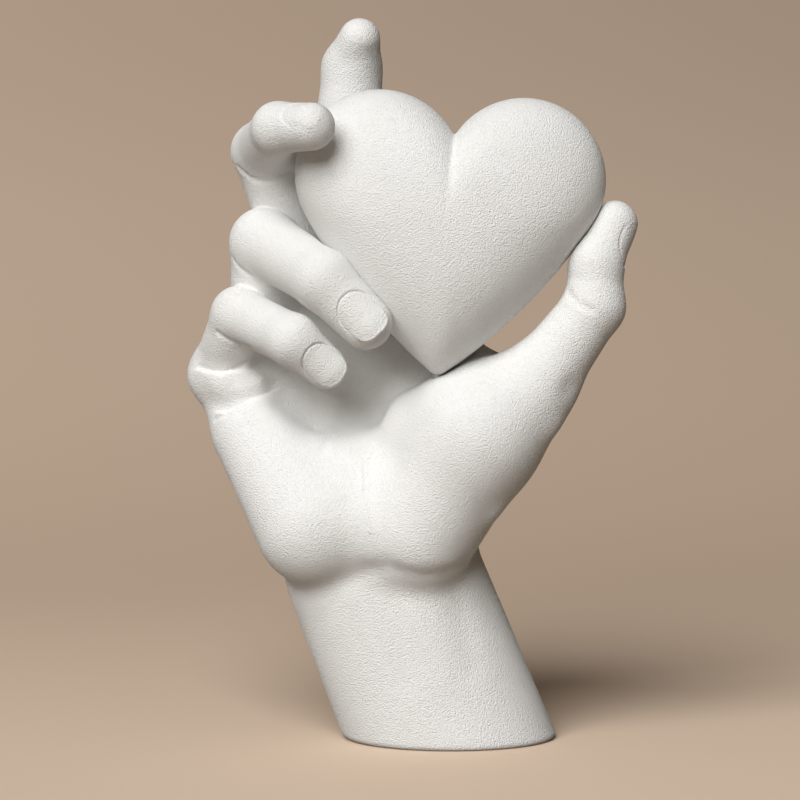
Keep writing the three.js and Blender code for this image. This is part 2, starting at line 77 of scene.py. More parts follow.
to_camera = np.array([0, -math.cos(CAMERA_ELEVATION), math.sin(CAMERA_ELEVATION)])
camera_place = LOOKED_AT + CAMERA_DISTANCE * to_camera
camera_up = np.array([0, math.sin(CAMERA_ELEVATION), math.cos(CAMERA_ELEVATION)])

camera = bpy.data.objects.new("camera", bpy.data.cameras.new("camera"))
camera.data.lens = LENS_LENGTH
camera.data.sensor_width = SENSOR_WIDTH
camera.data.clip_end = SEEN_TO
camera.location = Vector(camera_place * MM)
camera.rotation_euler = Vector(-to_camera).to_track_quat("-Z", "Y").to_euler()
scene.collection.objects.link(camera)
scene.camera = camera


def camera_ray(column, row):
    """Direction, in millimetres, of the ray through a place in the photograph."""
    half_width = SENSOR_WIDTH / 2 / LENS_LENGTH
    right = (column / PHOTO_WIDTH * 2 - 1) * half_width
    up = (1 - row / PHOTO_WIDTH * 2) * half_width
    ray = -to_camera + right * np.array([1.0, 0, 0]) + up * camera_up
    return ray / np.linalg.norm(ray)


print("camera at", tuple(round(v) for v in camera_place), "mm")

# %% [markdown]
# ## The skeleton
#
# A hand is easiest to describe as its bones. Each digit starts at its knuckle and goes on bone by
# bone, with a length, a lean to the viewer's right from upright and a tilt towards the viewer. The
# radii say how thick the flesh is at each joint. All of it is in millimetres from the middle of the
# wrist, and the values are the CAD model's own, so the fine skin lies where the CAD skin is.

# %% Skeleton
FOREARM_LEAN = 0.397
FOREARM_FOOT_X = 0.5
FOREARM_BELOW = 28
FOREARM_RADII = (30.7, 28.8)
FOREARM_FLATNESS = 0.84
WRIST_HEIGHT = 53

# bones: length, lean to the right and tilt to the front, the angles in degrees
DIGITS = {
    "index": dict(
        knuckle=(12, 9, 83),
        bones=[(48.5, -26, -5), (22, 2, 2), (11, 16, 36)],
        radii=[12.2, 11.3, 8.9, 6.4],
    ),
    "middle": dict(
        knuckle=(-17.5, 11, 79),
        bones=[(51, -21.5, 21), (25.5, 44, 70), (13.5, 88, 44)],
        radii=[12.3, 8.6, 7.4, 7.1],
    ),
    "ring": dict(
        knuckle=(-34.5, 8, 64.5),
        bones=[(36, 1, 28), (30.5, 120, 47), (17.5, 135, 7)],
        radii=[11, 10.1, 8.9, 7.9],
    ),
    "little": dict(
        knuckle=(-47, 3, 56.5),
        bones=[(24, 17, 36), (26, 112, 47), (12.5, 130, -8)],
        radii=[10, 8.2, 7.6, 6.4],
    ),
    "thumb": dict(
        knuckle=(46, -22, 55),
        bones=[(28.5, 36, 4), (12.5, 3, -5), (13, 25, -13)],
        radii=[10.9, 8.6, 7.6, 6.8],
    ),
}
WRIST_ENDS = {
    "index": (12, 6, 9),
    "middle": (4.5, 6, 9),
    "ring": (-3, 5, 7.5),
    "little": (-10, 3, 6.5),
}
WRIST_END_RADIUS = 12.5
THUMB_BALL = ((11.5, -17, 12), (29, -22, 40), (17.8, 17.3), 1)
# each pad: where it starts and ends, its radii there, and its depth as a share of its width
PADS = [
    ((1.5, 6, 12), (-9, 7, 57), (26, 31), 0.44),  # back of the hand
    ((-18.5, -13, 13), (-37, -4, 39), (18.3, 12.5), 1),  # the little finger's side
    ((-1, -13, 14), (-7, -7, 31), (15, 13.5), 1),  # middle of the palm
    THUMB_BALL,
    ((37, -12, 50.5), (24.5, 2, 57), (11, 10.5), 1),  # web between thumb and index finger
    ((11, -14, 42.5), (26.5, -17, 48), (10, 10), 1),  # rest under the heart
]
# how far from a joint two forms begin to melt into each other
BLENDS = {
    "joint": 2.6,
    "finger_root": 4,
    "finger_gap": 0.6,
    "thumb_root": 6,
    "bone": 9,
    "pad": 9,
    "wrist": 4.5,
}

wrist = np.array([FOREARM_FOOT_X - FOREARM_LEAN * WRIST_HEIGHT, 0, WRIST_HEIGHT])
forearm_bottom = np.array([FOREARM_FOOT_X + FOREARM_LEAN * FOREARM_BELOW, 0, -FOREARM_BELOW])


def from_wrist(place):
    return wrist + np.array(place, float)


def joints_of(digit):
    """Joint places of a digit, from the knuckle to the middle of the fingertip."""
    places = [from_wrist(digit["knuckle"])]
    for length, lean, tilt in digit["bones"]:
        sideways = math.radians(lean)
        forwards = math.radians(tilt)
        flat = length * math.cos(forwards)
        step = (flat * math.sin(sideways), -length * math.sin(forwards), flat * math.cos(sideways))
        places.append(places[-1] + np.array(step))
    return places


joints = {name: joints_of(digit) for name, digit in DIGITS.items()}
for name, places in joints.items():
    print(name, "fingertip at", places[-1].round(1))

# %% [markdown]
# ## Flesh as a distance
#
# Modelling every fold by hand would need a sculpting brush. Here the flesh is a function instead:
# for any point it says how far away the skin is, and the answer is negative inside. A bone with
# flesh on it is a bar with round ends. Two forms melt into each other when the smaller of their
# distances is taken softly, and one is cut out of the other when the larger is taken softly.

# %% Distance helpers
def soft_min(a, b, softness):
    overlap = np.maximum(softness - np.abs(a - b), 0) / softness
    return np.minimum(a, b) - overlap * overlap * softness * 0.25


def soft_max(a, b, softness):
    return -soft_min(-a, -b, softness)


def soft_join(distances, softness):
    whole = distances[0]
    for distance in distances[1:]:
        whole = soft_min(whole, distance, softness)
    return whole


def bar(points, start, end, radii, flatness=1):
    """Distance to a bar with round ends, a radius at each end, and less depth where flatness < 1.

    The tapered side runs on from the round ends without an edge: for a point beside the bar, the
    nearest round lies a little towards the thick end.
    """
    squeeze = np.array([1, flatness, 1])
    axis = (np.asarray(end, float) - start) / squeeze
    length = np.linalg.norm(axis)
    taper = (radii[0] - radii[1]) / length
    set_back = taper / math.sqrt(1 - taper * taper)
    away = (points - start) / squeeze
    straight = away @ axis / length
    beside = np.sqrt(np.maximum((away * away).sum(1) - straight * straight, 0))
    along = np.clip((straight - set_back * beside) / length, 0, 1)
    radius = radii[0] + (radii[1] - radii[0]) * along
    return (np.linalg.norm(away - along[:, None] * axis, axis=1) - radius) * (1 + flatness) / 2


def digit_distance(points, name):
    places = joints[name]
    radii = DIGITS[name]["radii"]
    bones = [
        bar(points, places[i], places[i + 1], (radii[i], radii[i + 1]))
        for i in range(len(places) - 1)
    ]
    return soft_join(bones, BLENDS["joint"])


def palm_distance(points):
    bones = [
        bar(points, from_wrist(end), joints[name][0], (WRIST_END_RADIUS, DIGITS[name]["radii"][0]))
        for name, end in WRIST_ENDS.items()
    ]
    pads = [bar(points, from_wrist(a), from_wrist(b), radii, flat) for a, b, radii, flat in PADS]
    _, ball_top, ball_radii, _ = THUMB_BALL
    thumb_radii = (ball_radii[1], DIGITS["thumb"]["radii"][0])
    thumb_bone = bar(points, from_wrist(ball_top), joints["thumb"][0], thumb_radii)
    return soft_join([soft_join(bones, BLENDS["bone"]), *pads, thumb_bone], BLENDS["pad"])


def flesh(points):
    """Distance to the hand's plain flesh, without creases or nails."""
    forearm = bar(points, forearm_bottom, wrist, FOREARM_RADII, FOREARM_FLATNESS)
    whole = soft_min(palm_distance(points), forearm, BLENDS["wrist"])
    whole = soft_min(whole, digit_distance(points, "thumb"), BLENDS["thumb_root"])
    fingers = [
        soft_min(whole, digit_distance(points, name), BLENDS["finger_root"]) for name in WRIST_ENDS
    ]
    return soft_join(fingers, BLENDS["finger_gap"])


SEARCH_BEFORE = 120.0  # how far in front of the middle the search for the skin begins
SEARCH_STEP = 0.25
SEARCH_STEPS = 800


def skin_under(column, row, form=flesh):
    """Where the ray through a place in the photograph first meets the form."""
    ray = camera_ray(column, row)
    reaches = CAMERA_DISTANCE - SEARCH_BEFORE + SEARCH_STEP * np.arange(SEARCH_STEPS)
    line = camera_place + reaches[:, None] * ray
    inside = np.nonzero(form(line) < 0)[0]
    if not len(inside):
        raise ValueError(f"no flesh under {column}, {row}")
    return line[inside[0]]


print("palm is at", skin_under(340, 480).round(1))

# %% [markdown]
# ## The heart
#
# Seen from the front, the heart is two round lobes and a tip, joined by long side arcs. Each ray
# from its middle meets that outline once, so the outline is one number for each angle. The puffy
# thickness falls from the middle to the outline like a slightly squared ellipse. Near the middle
# the level lines turn round, so the groove from the cleft fades out, as it does on the real one.
#
# The rule is needed twice: to press the heart's bed into the hand, and to make the heart itself
# with Geometry Nodes. So the sizes carry the names that the node tree's inputs will have.

# %% Heart sizes
HEART_MIDDLE = from_wrist((18.5, -20, 99.5))
LEFT_LOBE = (-18.5, 17.0, 24.6)  # across, up, radius
RIGHT_LOBE = (23.7, 15.1, 24.0)
TIP = (-1.2, -40.8, 1.5)
SIDE_RADIUS = 170.0


def side_arc(lobe, side):
    """The long arc that touches a lobe and the tip from outside."""
    lobe_place, tip_place = np.array(lobe[:2]), np.array(TIP[:2])
    span = np.linalg.norm(tip_place - lobe_place)
    towards = (tip_place - lobe_place) / span
    from_lobe = SIDE_RADIUS - lobe[2]
    from_tip = SIDE_RADIUS - TIP[2]
    along = (from_lobe**2 - from_tip**2 + span**2) / (2 * span)
    away = side * math.sqrt(from_lobe**2 - along**2)
    middle = lobe_place + along * towards + away * np.array([-towards[1], towards[0]])
    return (*middle, SIDE_RADIUS)


def turned_from_top(angle):
    return (angle - math.pi / 2) % (2 * math.pi)


def touch_angle(lobe, arc):
    """Angle, from the top, at which the outline goes over from a lobe to its side arc."""
    out = np.array(lobe[:2]) - arc[:2]
    touch = lobe[:2] + lobe[2] * out / np.linalg.norm(out)
    return turned_from_top(math.atan2(touch[1], touch[0]))


right_arc = side_arc(LEFT_LOBE, 1)
left_arc = side_arc(RIGHT_LOBE, -1)
HEART = {
    "Half Thickness": 22.0,
    "Fullness": 2.3,  # 2 is an ellipse across, more is squarer
    "Crown Radius": 40.0,
    "Cleft Softness": 2.0,
    "Tip Softness": 4.0,
    "Spread Inwards": 16.0,  # groove and tip ridge get this much softer towards the middle
    "Left Touch": touch_angle(LEFT_LOBE, right_arc),
    "Right Touch": touch_angle(RIGHT_LOBE, left_arc),
}
for name, circle in (
    ("Left Lobe", LEFT_LOBE),
    ("Right Lobe", RIGHT_LOBE),
    ("Left Arc", left_arc),
    ("Right Arc", right_arc),
):
    for part, value in zip(("X", "Z", "Radius"), circle):
        HEART[f"{name} {part}"] = float(value)
print(len(HEART), "sizes for the heart")


# %% Heart rule
FADE_POWER = 1.5  # how quickly the middle's roundness is lost on the way outwards
MIDDLE_ROUNDNESS = 0.75
ROUNDNESS_SWING = 0.35  # rounder than that towards the tip, less round towards the cleft


def reach_in_circle(angle, size, name):
    """From the heart's middle outwards to one of its circles."""
    x, z, radius = (size[f"{name} {part}"] for part in ("X", "Z", "Radius"))
    towards = np.cos(angle) * x + np.sin(angle) * z
    return towards + np.sqrt(np.maximum(towards**2 - x**2 - z**2 + radius**2, 1e-6))


def inwards(share):
    """1 in the middle, and 0 at the outline and beyond."""
    return (1 - np.minimum(share, 1)) ** FADE_POWER


def heart_reach(angle, share, size=HEART):
    """From the middle to the outline, for an angle. Lower shares see a softer outline."""
    spread = inwards(share) * size["Spread Inwards"]
    lobes = soft_max(
        reach_in_circle(angle, size, "Left Lobe"),
        reach_in_circle(angle, size, "Right Lobe"),
        spread + size["Cleft Softness"],
    )
    sides = soft_min(
        reach_in_circle(angle, size, "Right Arc"),
        reach_in_circle(angle, size, "Left Arc"),
        spread + size["Tip Softness"],
    )
    turned = turned_from_top(angle)
    low = (turned > size["Left Touch"]) * (turned < size["Right Touch"])
    return low * sides + (1 - low) * lobes


def heart_level(angle, share, reach, size=HEART):
    """0 in the middle, 1 at the outline, with round level lines near the middle."""
    fade = (MIDDLE_ROUNDNESS - ROUNDNESS_SWING * np.sin(angle)) * inwards(share)
    return share * (1 - fade) + fade * share * reach / size["Crown Radius"]


LEAST_SLOPE = 0.02  # keeps the distance finite in the heart's very middle


def heart_distance(points):
    """Distance to the heart's surface, exact enough near the surface."""

    def level(place):
        x, depth, z = (place - HEART_MIDDLE).T
        angle = np.arctan2(z, x)
        out = np.hypot(x, z)
        share = out / heart_reach(angle, 1.0)
        reach = heart_reach(angle, share)
        value = heart_level(angle, out / reach, reach)
        return np.abs(value) ** HEART["Fullness"] + (depth / HEART["Half Thickness"]) ** 2 - 1

    probe = 0.2
    slope = np.zeros(len(points))
    for axis in np.eye(3) * probe:
        slope += ((level(points + axis) - level(points - axis)) / (2 * probe)) ** 2
    return level(points) / np.maximum(np.sqrt(slope), LEAST_SLOPE)


quarter_turns = math.pi / 2 * np.arange(4)
print("heart reaches right, up, left, down:", heart_reach(quarter_turns, 1.0).round(1), "mm")

# %% [markdown]
# ## Nails
#
# On the real casting a nail is an oval patch of the fingertip. At its root the skin stands over it
# with a thin groove between, and the free end stands proud of the fingertip as a small step. So a
# nail is a pattern of small presses and lifts on the flesh. Its oval lies in a little frame of its
# own: along the bone, across, and out.

# %% Nails
ROOT_SQUARENESS = 2.2
TIP_SQUARENESS = 3.0
NAIL_STEP_WIDTH = 0.28  # how suddenly the plate ends at its edge
GROOVE_WIDTH = 0.34
GROOVE_DEPTH = 0.34
ROOT_SINK = 0.22  # how far the plate lies under the skin at its root
RIM_HEIGHT = 0.12
RIM_INSET = 0.4
RIM_WIDTH = 0.3
NAIL_REACH = 1.45  # the flesh changes this far around a nail's middle, in half lengths
# from where to where along a nail something sets in, in half lengths from its middle
SQUARE_SPAN = (-0.4, 0.4)
ROOT_SPAN = (-0.3, 0.7)
TIP_SPAN = (0.2, 0.8)
SKIN_HEIGHTS = np.arange(2, 16, 0.05)  # over the bone, where the skin is looked for
# share: place along the last bone; out: which way the nail faces; half: half length and width;
# lift: how far the free end stands up; sides: depth of the side grooves; soft: how blurred it is
NAILS = {
    "ring": dict(share=0.9, out=(0.1, -1, 0.1), half=(7.5, 6.0), lift=1.5, sides=0.3),
    "little": dict(share=0.86, out=(0.08, -1, 0.08), half=(6.8, 5.4), lift=1.2, sides=0.3),
    "middle": dict(
        share=1.0, out=(-0.5, -0.55, 0.75), half=(6.4, 4.9), lift=0.2, sides=0.9, soft=2.4
    ),
    "index": dict(share=0.7, out=(0, 1, 0.1), half=(6.4, 5.2), lift=0.5, sides=0.5),
    "thumb": dict(share=0.7, out=(1, -0.12, 0), half=(6.8, 5.6), lift=-0.1, sides=0.8),
}


def nail_frame(name, nail):
    """Origin on the flesh and three directions: along the bone, across, and out of the nail."""
    start, end = joints[name][-2:]
    along = (end - start) / np.linalg.norm(end - start)
    out = np.array(nail["out"], float)
    out -= (out @ along) * along
    out /= np.linalg.norm(out)
    axis_point = start + nail["share"] * (end - start)
    outside = flesh(axis_point + SKIN_HEIGHTS[:, None] * out) > 0
    origin = axis_point + SKIN_HEIGHTS[np.argmax(outside)] * out
    return origin, along, np.cross(out, along), out


nail_frames = {name: nail_frame(name, nail) for name, nail in NAILS.items()}


def eased(value, low, high):
    """Goes smoothly from 0 to 1 as the value goes from low to high."""
    share = np.clip((value - low) / (high - low), 0, 1)
    return share * share * (3 - 2 * share)


def bell(distance, width):
    return np.exp(-(distance / width) ** 2)


def with_nail(points, whole, name):
    nail = NAILS[name]
    origin, *axes = nail_frames[name]
    half_length, half_width = nail["half"]
    from_middle = np.linalg.norm(points - origin, axis=1)
    near = np.nonzero(from_middle < NAIL_REACH * half_length)[0]
    if not len(near):
        return whole
    along, across, _ = ((points[near] - origin) @ axis for axis in axes)
    share = along / half_length
    more = (TIP_SQUARENESS - ROOT_SQUARENESS) * eased(share, *SQUARE_SPAN)
    squareness = ROOT_SQUARENESS + more
    oval = np.abs(share) ** squareness + np.abs(across / half_width) ** squareness
    oval = np.maximum(oval, 1e-3) ** (1 / squareness)
    from_edge = np.hypot(along, across) * (1 - 1 / oval)
    root = eased(-share, *ROOT_SPAN)
    tip = eased(share, *TIP_SPAN)
    soft = nail.get("soft", 1)
    inside = eased(-from_edge, -soft * NAIL_STEP_WIDTH / 2, soft * NAIL_STEP_WIDTH / 2)
    round_it = nail["sides"] + (1 - nail["sides"]) * root - nail["sides"] * tip
    press = GROOVE_DEPTH / soft * bell(from_edge, soft * GROOVE_WIDTH) * round_it
    press += ROOT_SINK * inside * root
    press -= nail["lift"] * inside * np.maximum(share, 0) ** 2
    press -= RIM_HEIGHT / soft * bell(from_edge + RIM_INSET, RIM_WIDTH * soft) * tip
    whole = whole.copy()
    whole[near] += press
    return whole


print("nails on", ", ".join(nail_frames))

# %% [markdown]
# ## Creases and soft hollows
#
# A hollow or a crease is a path on the skin. Near it the skin is pressed in by a bell-shaped
# amount, which is deepest on the path. A fold is pressed in on its upper side only, so that the
# flesh below it stands out as a lip. The paths are given by where the photograph shows them, and
# the camera's rays find the skin under them, so each lies on the flesh from every side. A negative
# depth raises the skin instead, for a tendon or a pad. The wide hollows come first, and the narrow
# creases are then laid on the hollowed skin.

# %% Hollows and creases
LIP_SOFTNESS = 0.45  # how suddenly a fold's press ends at its path
PRESS_REACH = 2.5  # where a press has died out, in its own widths
HOLLOWS = [
    # palm: the hollow under the curled fingers
    dict(seen=[(290, 396), (316, 412), (344, 422), (368, 412)], width=6, depth=2.7),
    # palm: the pad under the little finger's root slopes back as it falls to the fold under it
    dict(seen=[(222, 385), (240, 385), (256, 383)], width=4.4, depth=-2.7),
    dict(
        seen=[(226, 413), (235, 409), (246, 404), (258, 399), (272, 394), (286, 388)],
        width=4,
        depth=2.2,
        fold=True,
    ),
    # palm: the valley that runs down between the two pads
    dict(seen=[(372, 468), (376, 500), (381, 530), (384, 556)], width=2.4, depth=0.45),
    # little finger: its first bone slopes back to its root, and a hollow lies beside that
    dict(seen=[(204, 370), (212, 372), (222, 373), (234, 371)], width=5, depth=1.1, fold=True),
    dict(seen=[(262, 360), (280, 370)], width=3.6, depth=2.4),
    # middle finger: full flesh where it leans on the heart
    dict(seen=[(292, 161)], width=3.6, depth=-2.8),
    # soft dip at the joint of the index finger
    dict(seen=[(346, 62), (358, 58), (370, 54)], width=3.0, depth=0.35),
    # thumb's ball: the real outline bulges at the thumb's root and near the wrist
    dict(seen=[(555, 428)], width=5, depth=-1.1),
    dict(seen=[(570, 388)], width=4, depth=0.9),
    dict(seen=[(496, 514)], width=4, depth=-1.0),
    # heel of the hand: the two pads stand a little over the fold above the wrist
    dict(seen=[(292, 593), (312, 590), (334, 585), (356, 577), (372, 570)], width=3, depth=0.6),
    dict(seen=[(388, 568), (412, 576), (440, 576), (466, 564)], width=3, depth=1.1),
    # wrist: shallow valleys beside the tendons
    dict(seen=[(392, 605), (404, 680)], width=4, depth=0.35),
    dict(seen=[(458, 600), (472, 665)], width=4, depth=0.45),
    dict(seen=[(430, 600), (442, 680)], width=5, depth=-0.3),
]
CREASES = [
    # palm: the upright fold between the thumb's ball and the little-finger side, a thin ridge
    dict(seen=[(361, 462), (362, 498), (366, 512), (370, 532)], width=0.6, depth=-0.25),
    # palm: fold under the pad at the roots of the ring and little fingers
    dict(
        seen=[
            (214, 420), (225, 414), (235, 409), (246, 404),
            (258, 399), (272, 394), (286, 388), (300, 380),
        ],
        width=0.8,
        depth=0.6,
    ),
    # palm: slanting crease that ends in a small dent
    dict(seen=[(340, 389), (326, 404), (315, 428)], width=1.6, depth=0.45),
    dict(seen=[(331, 436), (322, 452)], width=1.4, depth=0.4),
    # root of the little finger
    dict(seen=[(200, 367), (208, 371), (222, 373), (236, 370), (247, 362)], width=0.8, depth=0.8),
    # underside of each finger's middle bone, where it lies on its first bone
    dict(seen=[(217, 333), (224, 338), (236, 344), (250, 348)], width=0.9, depth=0.9),
    dict(seen=[(232, 259), (238, 267), (250, 276)], width=0.9, depth=0.7),
    dict(seen=[(238, 168), (250, 178), (264, 182), (278, 180), (290, 172)], width=0.9, depth=0.9),
    # inner joint fold of the thumb
    dict(seen=[(568, 293), (577, 303), (590, 310)], width=1.2, depth=0.6),
]


def from_path(points, path):
    """How far, and how far upwards, each point is from a path of lines, or from its one place."""
    offset = points - path[0]
    nearest = np.linalg.norm(offset, axis=1)
    upwards = offset[:, 2]
    for start, end in zip(path[:-1], path[1:]):
        axis = end - start
        along = np.clip((points - start) @ axis / (axis @ axis), 0, 1)
        offset = points - start - along[:, None] * axis
        distance = np.linalg.norm(offset, axis=1)
        upwards = np.where(distance < nearest, offset[:, 2], upwards)
        nearest = np.minimum(nearest, distance)
    return nearest, upwards


def pressed(points, whole, presses):
    whole = whole.copy()
    for press in presses:
        path = np.array(press["path"])
        reach = PRESS_REACH * press["width"]
        near = np.all((points > path.min(0) - reach) & (points < path.max(0) + reach), axis=1)
        near = np.nonzero(near)[0]
        if len(near):
            distance, upwards = from_path(points[near], path)
            amount = press["depth"] * bell(distance, press["width"])
            if press.get("fold"):
                amount *= eased(upwards, -LIP_SOFTNESS, LIP_SOFTNESS)
            whole[near] += amount
    return whole


def hollowed(points):
    return pressed(points, flesh(points), HOLLOWS)


for hollow in HOLLOWS:
    hollow["path"] = [skin_under(*place) for place in hollow["seen"]]
for crease in CREASES:
    crease["path"] = [skin_under(*place, form=hollowed) for place in crease["seen"]]
print(len(HOLLOWS), "hollows and", len(CREASES), "creases")

# %% [markdown]
# ## The whole casting
#
# The flesh gets its creases and nails, then its pits where it touches the heart, the flat cut at
# the floor with a softly broken edge, and the hollow inside the forearm with the rebate for the
# plate and the pad. The skin stays a hair inside the CAD model's box.

# %% Casting
SKIN_INSET = 0.22
HEART_GAP = 0.05
CONTACT_SOFTNESS = 1.3
FOOT_EDGE_SOFTNESS = 2.2
WALL = 7
HOLLOW_RADIUS = FOREARM_RADII[1] - WALL
HOLLOW_FLATNESS = 0.74
HOLLOW_TOP = WRIST_HEIGHT + 23
HOLLOW_DOME = 20
LEDGE_HEIGHT = 5.1
LEDGE_WIDTH = 3
PLATE_FIT = 0.3
MOUTH_RADIUS = HOLLOW_RADIUS + LEDGE_WIDTH + PLATE_FIT
# the heart and the hollow are worked out only where they can touch the casting's skin
HEART_AROUND = (60, HEART["Half Thickness"] + 4, 60)
SKIN_NEAR = 9
HOLLOW_BELOW = HOLLOW_TOP + 4


def hollow_distance(points):
    x, y, z = points.T
    across = np.hypot(x - FOREARM_FOOT_X + FOREARM_LEAN * z, y / HOLLOW_FLATNESS) / HOLLOW_RADIUS
    rise = np.maximum(z - (HOLLOW_TOP - HOLLOW_DOME), 0) / HOLLOW_DOME
    bore = (np.hypot(across, rise) - 1) * HOLLOW_RADIUS * HOLLOW_FLATNESS
    mouth = (np.hypot(x, y / FOREARM_FLATNESS) - MOUTH_RADIUS) * FOREARM_FLATNESS
    return np.minimum(bore, np.maximum(mouth, z - LEDGE_HEIGHT))


def casting(points):
    """Distance to the finished hand casting."""
    whole = pressed(points, hollowed(points) + SKIN_INSET, CREASES)
    for name in NAILS:
        whole = with_nail(points, whole, name)
    around_heart = np.all(np.abs(points - HEART_MIDDLE) < HEART_AROUND, axis=1)
    near = np.nonzero(around_heart & (np.abs(whole) < SKIN_NEAR))[0]
    if len(near):
        pit = HEART_GAP - heart_distance(points[near])
        whole[near] = soft_max(whole[near], pit, CONTACT_SOFTNESS)
    whole = soft_max(whole, -points[:, 2], FOOT_EDGE_SOFTNESS)
    low = np.nonzero(points[:, 2] < HOLLOW_BELOW)[0]
    whole[low] = np.maximum(whole[low], -hollow_distance(points[low]))
    return whole


# %% [markdown]
# ## From distance to mesh
#
# A net of four-sided faces is laid over the zero level: each grid cell that the skin crosses gets
# one point, and neighbouring cells are joined. Only cells near the skin are worked out, which a
# coarse grid finds first. Each point is then pulled onto the skin along the slope.

# %% Grid near the skin
COARSE = 4  # fine cells in the side of a coarse one
NEAR_BLOCK = 1.3  # a coarse cell this many sides from the skin may still hold some of it
DEEP = 1e3  # stands for any distance of which only the sign matters
AT_ONCE = 300000  # points worked out together, to spare memory
FLATTEST = 0.2  # the least slope that a pull trusts


def slope_of(form, points, probe=0.05):
    slope = np.empty_like(points)
    for axis in range(3):
        step = np.zeros(3)
        step[axis] = probe
        slope[:, axis] = (form(points + step) - form(points - step)) / (2 * probe)
    return slope


def pulled_onto(form, points, reach):
    slope = slope_of(form, points)
    steep = np.maximum((slope * slope).sum(1), FLATTEST)
    move = -(form(points) / steep)[:, None] * slope
    length = np.maximum(np.linalg.norm(move, axis=1), 1e-9)
    return points + move * np.minimum(1, reach / length)[:, None]


def values_near(form, low, count, cell):
    """Form values on the grid corners near the skin. Elsewhere only the sign is right."""
    blocks = (count - 1) // COARSE
    size = cell * COARSE
    middles = [low[axis] + size * (np.arange(blocks[axis]) + 0.5) for axis in range(3)]
    grid = np.stack(np.meshgrid(*middles, indexing="ij"), -1).reshape(-1, 3)
    coarse = form(grid).reshape(blocks)
    values = np.full(count, DEEP, np.float32)
    wanted = np.zeros(count, bool)

    def block_at(place):
        return tuple(slice(n * COARSE, (n + 1) * COARSE + 1) for n in place)

    for place in np.argwhere(coarse < 0):
        values[block_at(place)] = -DEEP
    for place in np.argwhere(np.abs(coarse) < NEAR_BLOCK * size):
        wanted[block_at(place)] = True
    corners = np.argwhere(wanted)
    found = np.empty(len(corners), np.float32)
    for start in range(0, len(corners), AT_ONCE):
        part = slice(start, start + AT_ONCE)
        found[part] = form(low + corners[part] * cell)
    values[wanted] = found
    return values


# %% [markdown]
# ## A net that doesn't touch itself
#
# Where two diagonal corners of a grid face are inside and the other two outside, the net would meet
# itself along an edge, and no printer or physics tool could tell in from out there. The corner
# nearest the skin changes side until no such face is left.

# %% Grid faces
SETTLING_ROUNDS = 20
CHANGED_SHARE = 0.3  # how deep a corner that changed side then lies, in cells
FACE_CORNERS = ((0, 0), (1, 0), (1, 1), (0, 1))


def checkered_faces(values, u, w):
    """The grid faces along two axes whose diagonal corners are alike and whose sides differ."""

    def inside_at(du, dw):
        part = [slice(None)] * 3
        part[u] = slice(du, values.shape[u] - 1 + du)
        part[w] = slice(dw, values.shape[w] - 1 + dw)
        return values[tuple(part)] < 0

    p, q, r, s = (inside_at(du, dw) for du, dw in FACE_CORNERS)
    return np.argwhere((p == r) & (q == s) & (p != q))


def settle_faces(values, cell):
    """Changes the side of grid corners until no grid face has a checkerboard of sides."""
    changed = 0
    for _ in range(SETTLING_ROUNDS):
        flips = []
        for u, w in ((0, 1), (1, 2), (0, 2)):
            for face in checkered_faces(values, u, w):
                four = []
                for du, dw in FACE_CORNERS:
                    place = face.copy()
                    place[u] += du
                    place[w] += dw
                    four.append(tuple(place))
                flips.append(min(four, key=lambda place: abs(values[place])))
        if not flips:
            break
        for place in set(flips):
            values[place] = -math.copysign(CHANGED_SHARE * cell, values[place])
            changed += 1
    return changed


# %% Net
PULLS = 2  # how often new corners are pulled onto the skin


def net_over(form, low, high, cell):
    """Corner places and four-sided faces of a closed net over a form's zero level."""
    low = np.asarray(low, float)
    count = np.ceil((np.asarray(high) - low) / (cell * COARSE)).astype(int) * COARSE + 1
    values = values_near(form, low, count, cell)
    changed = settle_faces(values, cell)
    inside = values < 0
    corners = [(a, b, c) for a in (0, 1) for b in (0, 1) for c in (0, 1)]

    def shifted(grid, by):
        return grid[tuple(slice(by[i], count[i] - 1 + by[i]) for i in range(3))]

    filled = sum(shifted(inside, by).astype(np.int8) for by in corners)
    crossed = (filled > 0) & (filled < 8)
    cells = np.argwhere(crossed)
    number = np.full(crossed.shape, -1, np.int64)
    number[crossed] = np.arange(len(cells))

    held = np.stack([values[tuple((cells + by).T)] for by in corners], 1).astype(float)
    offsets = np.array(corners, float)
    total = np.zeros((len(cells), 3))
    crossings = np.zeros(len(cells))
    for a in range(8):
        for b in range(a + 1, 8):
            if np.abs(offsets[a] - offsets[b]).sum() != 1:
                continue
            split = (held[:, a] < 0) != (held[:, b] < 0)
            share = held[split, a] / (held[split, a] - held[split, b])
            total[split] += offsets[a] + share[:, None] * (offsets[b] - offsets[a])
            crossings[split] += 1
    points = low + (cells + total / crossings[:, None]) * cell

    faces = []
    for axis in range(3):
        u, w = [(1, 2), (2, 0), (0, 1)][axis]
        first = np.take(inside, range(count[axis] - 1), axis=axis)
        second = np.take(inside, range(1, count[axis]), axis=axis)
        edge = np.argwhere(first != second)
        outward = first[tuple(edge.T)]

        def cell_number(du, dw):
            place = edge.copy()
            place[:, u] -= du
            place[:, w] -= dw
            return number[tuple(place.T)]

        around = ((1, 1), (0, 1), (0, 0), (1, 0))
        four = np.stack([cell_number(du, dw) for du, dw in around], 1)
        four[~outward] = four[~outward][:, ::-1]
        faces.append(four)
    for _ in range(PULLS):
        points = pulled_onto(form, points, cell / 2)
    print(f"net with {cell} mm cells: {len(points)} points, {changed} grid corners settled")
    return points, np.concatenate(faces)


# %% [markdown]
# ## From net to piece
#
# Blender takes a mesh as plain lists of corners and faces. Nails and creases need finer faces than
# the rest, so edges are halved there. The skin is then thinned where it is plain, and the triangles
# that are left go where the detail is.

